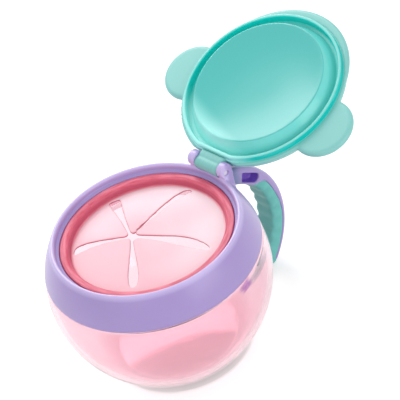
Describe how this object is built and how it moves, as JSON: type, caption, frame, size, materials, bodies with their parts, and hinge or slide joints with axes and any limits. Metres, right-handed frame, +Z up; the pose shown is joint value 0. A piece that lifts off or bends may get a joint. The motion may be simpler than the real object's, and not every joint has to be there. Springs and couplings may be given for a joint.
{
  "type": "toddler snack container",
  "caption": "Ball-shaped clear snack cup with a screw-on collar, a soft slit insert that lets a hand reach in, a carrying handle and a hinged lid with round ears.",
  "frame": {"origin": "middle of the flat base, on the bowl's axis", "axes": "+Z up along the bowl's axis, +Y from the bowl towards the hinge and the handle, +X along the hinge axis"},
  "size_m": [0.099, 0.1599, 0.0918],
  "materials": {
    "clear_pink": "clear tinted plastic, polished",
    "lavender_plastic": "satin moulded plastic",
    "teal_grip": "soft matt overmoulding",
    "soft_coral": "soft translucent elastomer",
    "pale_teal_plastic": "satin moulded plastic",
    "teal_plastic": "glossy moulded plastic",
    "pin_steel": "turned stainless pin"
  },
  "bodies": {
    "bowl": {"bowl": "clear_pink"},
    "insert": {"flap_insert": "soft_coral"},
    "collar": {"collar": "lavender_plastic", "handle_frame": "lavender_plastic", "handle_grip": "teal_grip", "hinge_pin": "pin_steel"},
    "lid": {"lid_shell": "pale_teal_plastic", "lid_liner": "teal_plastic"}
  },
  "joints": [
    {"name": "collar_lift", "type": "slide", "parent": "bowl", "child": "insert", "axis": [0, 0, 1], "range_m": [0, 0.00301]},
    {"name": "collar_turn", "type": "hinge", "parent": "insert", "child": "collar", "pos_m": [0, 0, 0.0575], "axis": [0, 0, 1], "range_deg": [0, 90]},
    {"name": "lid_hinge", "type": "hinge", "parent": "collar", "child": "lid", "pos_m": [0, 0.0391, 0.06495], "axis": [1, 0, 0], "range_deg": [0, 162]}
  ],
  "couplings": [
    {"joint": "collar_lift", "follows": "collar_turn", "m_per_rad": 0.0019099}
  ]
}
